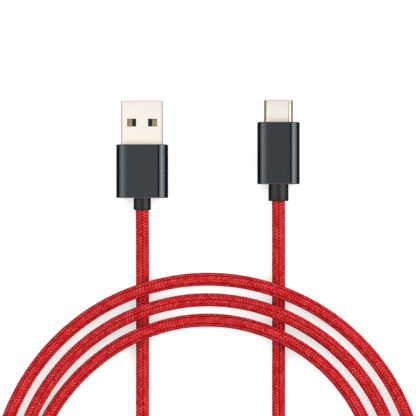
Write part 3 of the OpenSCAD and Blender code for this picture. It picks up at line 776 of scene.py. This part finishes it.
def woven_sleeve(name, line, material):
    rows = len(line)
    around = COLUMNS * POINTS_PER_COLUMN
    along = np.gradient(line, axis=0)
    side = np.cross(along, (0, 0, 1))
    side /= np.linalg.norm(side, axis=1)[:, None]
    up = np.cross(side, along)
    up /= np.linalg.norm(up, axis=1)[:, None]
    point = np.arange(around)
    part = (point % POINTS_PER_COLUMN) / POINTS_PER_COLUMN
    leans_left = (point // POINTS_PER_COLUMN) % 2 == 0
    lean = np.where(leans_left, part, 1 - part)
    index = np.arange(rows)
    strand_count = rows // ROWS_PER_STRAND + 1
    uneven = np.random.default_rng(UNEVEN_SEED).normal(0, STRAND_UNEVEN, (strand_count, COLUMNS))
    twist = 2 * math.pi * (0.5 + TURNED_COLUMNS * index / rows) / COLUMNS
    verts = np.empty((rows, around, 3))
    for k in point:
        where = np.clip(index + (lean[k] - 0.5) * ROWS_PER_STRAND, 0, rows - 1)
        low = np.floor(where).astype(int)
        high = np.minimum(low + 1, rows - 1)
        share = (where - low)[:, None]
        centre = line[low] * (1 - share) + line[high] * share
        across = side[low] * (1 - share) + side[high] * share
        above = up[low] * (1 - share) + up[high] * share
        dip = BORDER_DIPS[k // POINTS_PER_COLUMN % 2] if part[k] == 0 else 0
        height = STRAND_CROWN - dip
        radius = CORD_D / 2 + height - np.where(index % ROWS_PER_STRAND == 0, 0, STRAND_GROOVE)
        radius += uneven[index // ROWS_PER_STRAND, k // POINTS_PER_COLUMN]
        turn = (2 * math.pi * k / around + twist)[:, None]
        verts[:, k] = centre + (across * np.cos(turn) + above * np.sin(turn)) * radius[:, None]
    row, k = np.meshgrid(np.arange(rows - 1), point, indexing="ij")
    after = (k + 1) % around
    quads = np.stack((row * around + k, (row + 1) * around + k,
                      (row + 1) * around + after, row * around + after), -1).reshape(-1, 4)
    caps = [point.tolist(), (point + (rows - 1) * around)[::-1].tolist()]
    mesh = bpy.data.meshes.new(name)
    mesh.from_pydata(verts.reshape(-1, 3).tolist(), [], quads.tolist() + caps)

    # The weave map counts columns across and strands along, and leans as they do
    leans = np.where(leans_left[k], 1, -1)
    start = np.where(leans_left[k], part[k], 1 - part[k])
    end = start + leans / POINTS_PER_COLUMN
    at, following = row / ROWS_PER_STRAND, (row + 1) / ROWS_PER_STRAND
    columns = np.stack((k, k, k + 1, k + 1), -1) / POINTS_PER_COLUMN
    strands = np.stack((at + start, following + start, following + end, at + end), -1)
    add_map(mesh, "weave", columns, strands, 2 * around)

    # The bake map lays the sleeve out flat, as strips side by side
    strip_rows = math.ceil((rows - 1) / BAKE_STRIPS)
    strip = row // strip_rows
    in_strip = row - strip * strip_rows
    edges = np.stack((k, k, k + 1, k + 1), -1) / around
    u = (strip[:, :, None] + STRIP_MARGIN + (1 - 2 * STRIP_MARGIN) * edges) / BAKE_STRIPS
    v = 0.002 + 0.996 * np.stack((in_strip, in_strip + 1, in_strip + 1, in_strip), -1) / strip_rows
    add_map(mesh, "OFBake", u, v, 2 * around)

    mesh.polygons.foreach_set("use_smooth", np.ones(len(mesh.polygons), bool))
    mesh.materials.append(material)
    piece = bpy.data.objects.new(name, mesh)
    bpy.context.scene.collection.objects.link(piece)
    return piece


def add_map(mesh, name, u, v, cap_corners):
    flat = np.stack((u, v), -1).reshape(-1, 2)
    flat = np.vstack((flat, np.full((cap_corners, 2), 0.001)))
    mesh.uv_layers.new(name=name).data.foreach_set("uv", flat.astype(np.float32).ravel())


def woven_nylon():
    """Red nylon strands, read from the weave map: crowns in random tones, brighter strands
    tinted pinker as a painted highlight, grooves and column borders darkened as painted
    shade, and fine filaments that run along each strand."""
    material, build, surface = new_material("woven_nylon", NYLON)
    place = build.node("ShaderNodeSeparateXYZ",
                       {0: build.node("ShaderNodeUVMap", uv_map="weave").outputs[0]}).outputs
    column = build.math("FLOOR", place[0])
    part = build.math("FRACT", place[0])
    odd = build.math("MODULO", column, 2.0)
    lean = build.math("ABSOLUTE", build.math("SUBTRACT", odd, part))
    strand = build.math("SUBTRACT", place[1], lean)
    number = build.math("ROUND", strand)
    from_crown = build.math("ABSOLUTE", build.math("SUBTRACT", strand, number))
    from_middle = build.math("ABSOLUTE", build.math("SUBTRACT", part, 0.5))
    # Painted shade: the grooves and the columns' borders darken the colour. The same mask shapes
    # the bump.
    groove = build.spread(from_crown, *GROOVE_EDGE, 0.0, DARKEST)
    dip = build.spread(from_middle, *DIP_EDGE, 0.0, 1.0)
    shallow = build.math("MODULO", build.math("ROUND", place[0]), 2.0)
    dip = build.math("MULTIPLY", dip, build.spread(shallow, 0.0, 1.0, 1.0, SHALLOW_DIP))
    shade = build.math("MAXIMUM", groove, dip)
    which = build.node("ShaderNodeCombineXYZ", {0: column, 1: number}).outputs[0]
    chance = build.node("ShaderNodeTexWhiteNoise", {0: which}, noise_dimensions="2D").outputs[0]
    # Random brighter strands, tinted pinker as a painted highlight for the nylon's sheen.
    crown = build.mix(chance, NYLON, NYLON_BRIGHT_AND_SHEEN)
    colour = build.mix(build.math("MULTIPLY", shade, DARKEST), crown, NYLON_GROOVE_SHADE)
    filaments = build.math("SINE", build.math("MULTIPLY", strand, 2 * math.pi * FILAMENTS))
    height = build.math("MULTIPLY_ADD", filaments, FILAMENT_HEIGHT,
                        build.math("SUBTRACT", 1.0, shade))
    build.feed(surface["Base Color"], colour)
    build.feed(surface["Roughness"], build.spread(chance, 0.0, 1.0, *NYLON_ROUGHNESS))
    build.feed(surface["Normal"], build.bump(height, WEAVE_RELIEF, 0.8))
    surface["Specular IOR Level"].default_value = NYLON_SPECULAR
    return material


centreline = stiffened(stiffened(through(route), CORD_STIFFNESS), CORD_STIFFNESS)
centreline, cord_length = evenly(centreline, STRAND_PITCH / ROWS_PER_STRAND)
cord = woven_sleeve("woven_cord", centreline, woven_nylon())
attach(cord, "root")
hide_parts("cord_tail_usb_a", "cord_coil", "cord_tail_usb_c")
rebuilt = ("usb_c_shell", "usb_c_housing", "usb_c_strain_relief")
usb_c_plug = [housing_c, relief_c, shell_c]
usb_c_plug += [nodes[name] for name in nodes if name.startswith("usb_c_") and name not in rebuilt]


# ---- Floor --------------------------------------------------------------------------
# A white table. It glows a little, so that shadows on it stay faint. It isn't mirrored
# in the metal and throws no light on the cord's sides.
FLOOR_DEPTH = 0.1 * MM
FLOOR_REACH = 1.5
FLOOR_COLOUR = (0.80, 0.80, 0.80, 1)
FLOOR_GLOW = 0.5
floor_mesh = bpy.data.meshes.new("floor")
floor_mesh.from_pydata([(-FLOOR_REACH, -FLOOR_REACH, 0), (FLOOR_REACH, -FLOOR_REACH, 0),
                        (FLOOR_REACH, FLOOR_REACH, 0), (-FLOOR_REACH, FLOOR_REACH, 0)],
                       [], [(0, 1, 2, 3)])
floor = bpy.data.objects.new("floor", floor_mesh)
floor.location.z = -FLOOR_DEPTH
floor.visible_glossy = False
floor.visible_diffuse = False
bpy.context.scene.collection.objects.link(floor)
floor_white, _, floor_surface = new_material("floor_white", FLOOR_COLOUR)
floor_surface["Roughness"].default_value = 0.9
floor_surface["Emission Color"].default_value = (1, 1, 1, 1)
floor_surface["Emission Strength"].default_value = FLOOR_GLOW
floor_mesh.materials.append(floor_white)


# ---- Light --------------------------------------------------------------------------
# A long light tent over the plugs. Its panels brighten round both sides, and a narrow
# black card hangs just right of the middle. Past its two ends the light is dimmer.
TENT = [  # degrees from straight up towards +X, and the light there
    (-180, 0.06), (-104, 0.06), (-90, 0.6), (-62, 2.6), (-50, 3.0), (-36, 2.2), (-13, 1.5),
    (-4, 1.02), (3.2, 1.02), (4.0, 0.03), (17, 0.03), (20, 1.9), (30, 3.2), (44, 5.2),
    (62, 3.6), (82, 1.4), (98, 0.35), (108, 0.06), (180, 0.06),
]
TENT_END = (0.15, 0.4)  # how far towards +-Y the panels fade
TENT_DIM = (0.45, 0.85)  # light towards -Y and +Y
TENT_DIM_REACH = 0.6
HORIZON = 0.1
LIGHT_BELOW = 0.4  # share of the ends' light that comes from below the horizon
world = bpy.data.worlds.new("light_tent")
bpy.context.scene.world = world
world.use_nodes = True
sky = Builder(world.node_tree)
towards = sky.node("ShaderNodeSeparateXYZ",
                   {0: sky.node("ShaderNodeTexCoord").outputs["Generated"]}).outputs
lean_angle = sky.math("ARCTAN2", towards[0], towards[2])
panels = sky.node("ShaderNodeValToRGB",
                  {0: sky.math("MULTIPLY_ADD", lean_angle, 0.5 / math.pi, 0.5)})
stops = panels.color_ramp.elements
while len(stops) < len(TENT):
    stops.new(0.5)
for stop, (degrees, light) in zip(stops, TENT):
    stop.position = degrees / 360 + 0.5
    stop.color = (light, light, light, 1)
past_end = sky.spread(sky.math("ABSOLUTE", towards[1]), *TENT_END, 0.0, 1.0)
ends = sky.spread(towards[1], -TENT_DIM_REACH, TENT_DIM_REACH, *TENT_DIM)
above = sky.spread(towards[2], -HORIZON, HORIZON, LIGHT_BELOW, 1.0)
ends = sky.math("MULTIPLY", ends, above)
ends = sky.node("ShaderNodeCombineColor", {0: ends, 1: ends, 2: ends}).outputs[0]
background = world.node_tree.nodes["Background"].inputs
sky.feed(background[0], sky.mix(past_end, panels.outputs[0], ends))
bpy.context.scene.view_settings.view_transform = "Standard"
